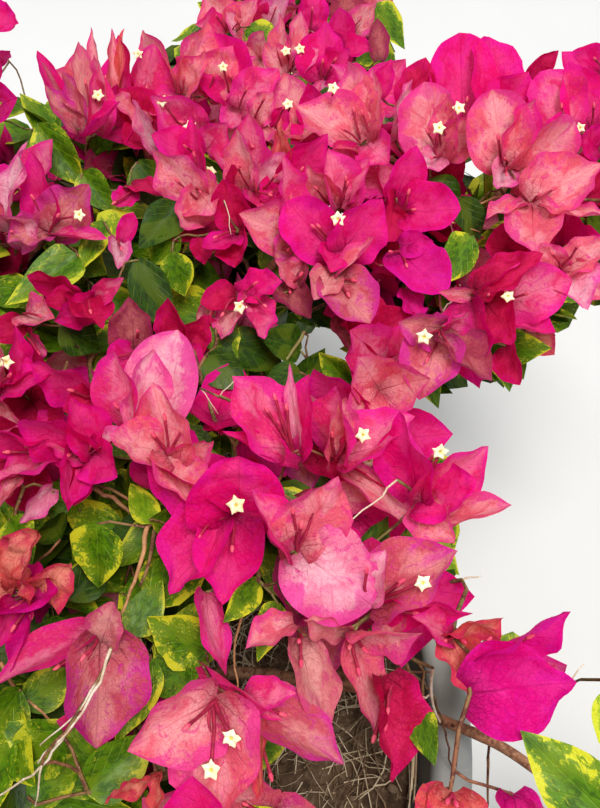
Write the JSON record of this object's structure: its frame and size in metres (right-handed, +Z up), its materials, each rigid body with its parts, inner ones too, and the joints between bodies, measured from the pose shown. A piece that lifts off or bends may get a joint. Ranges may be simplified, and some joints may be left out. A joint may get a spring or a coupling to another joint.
{
  "type": "potted bougainvillea bush",
  "caption": "Low, wide bougainvillea with magenta to salmon bracts, cream flowers and variegated leaves on arching woody canes, planted in a round grey plastic pot.",
  "frame": {"origin": "centre of the pot's flat underside, on the pot's axis", "axes": "+Z up along the pot's axis; +Y away from the viewer of the reference picture, who looks steeply down from above the front of the pot; +X to the viewer's right"},
  "size_m": [1.1667, 1.3685, 0.6562],
  "materials": {
    "pot": "matt, weathered grey",
    "soil": "rough, dry, with plant litter",
    "bark": "matt brown bark",
    "leaves": "satin green, yellow edges",
    "bracts": "papery, magenta to salmon"
  },
  "bodies": {
    "root": {"cane_back": "bark", "cane_crown": "bark", "cane_far_left_back": "bark", "cane_front": "bark", "cane_front_left": "bark", "cane_front_outer": "bark", "cane_front_right": "bark", "cane_left": "bark", "cane_left_front": "bark", "cane_left_middle": "bark", "cane_right": "bark", "cane_right_back": "bark", "cane_right_front": "bark", "foliage_back_left": "bracts", "foliage_back_middle": "bracts", "foliage_back_tip": "bracts", "foliage_crown": "bracts", "foliage_crown_front": "bracts", "foliage_far_left_back": "bracts", "foliage_far_left_back_outer": "bracts", "foliage_front": "bracts", "foliage_front_centre": "bracts", "foliage_front_left": "bracts", "foliage_front_left_tip": "bracts", "foliage_front_low": "bracts", "foliage_front_outer": "bracts", "foliage_front_right": "bracts", "foliage_left_back": "bracts", "foliage_left_front": "leaves", "foliage_left_front_outer": "bracts", "foliage_left_front_upper": "bracts", "foliage_left_middle": "leaves", "foliage_left_outer": "bracts", "foliage_left_upper": "bracts", "foliage_middle": "bracts", "foliage_right_back": "bracts", "foliage_right_front": "bracts", "foliage_right_front_outer": "bracts", "foliage_right_inner": "bracts", "foliage_right_middle": "bracts", "foliage_right_tip": "bracts", "limb_outer_back": "bark", "limb_outer_far_left_back": "bark", "limb_outer_front": "bark", "limb_outer_front_left": "bark", "limb_outer_left": "bark", "limb_outer_left_front": "bark", "limb_outer_right_front": "bark", "limb_to_back_left": "bark", "limb_to_crown_front": "bark", "limb_to_front_right": "bark", "limb_to_left_back": "bark", "limb_to_left_front": "bark", "limb_to_middle": "bark", "limb_to_right_inner": "bark", "limb_to_right_middle": "bark", "pot": "pot", "soil": "soil", "trunk": "bark"}
  },
  "joints": []
}
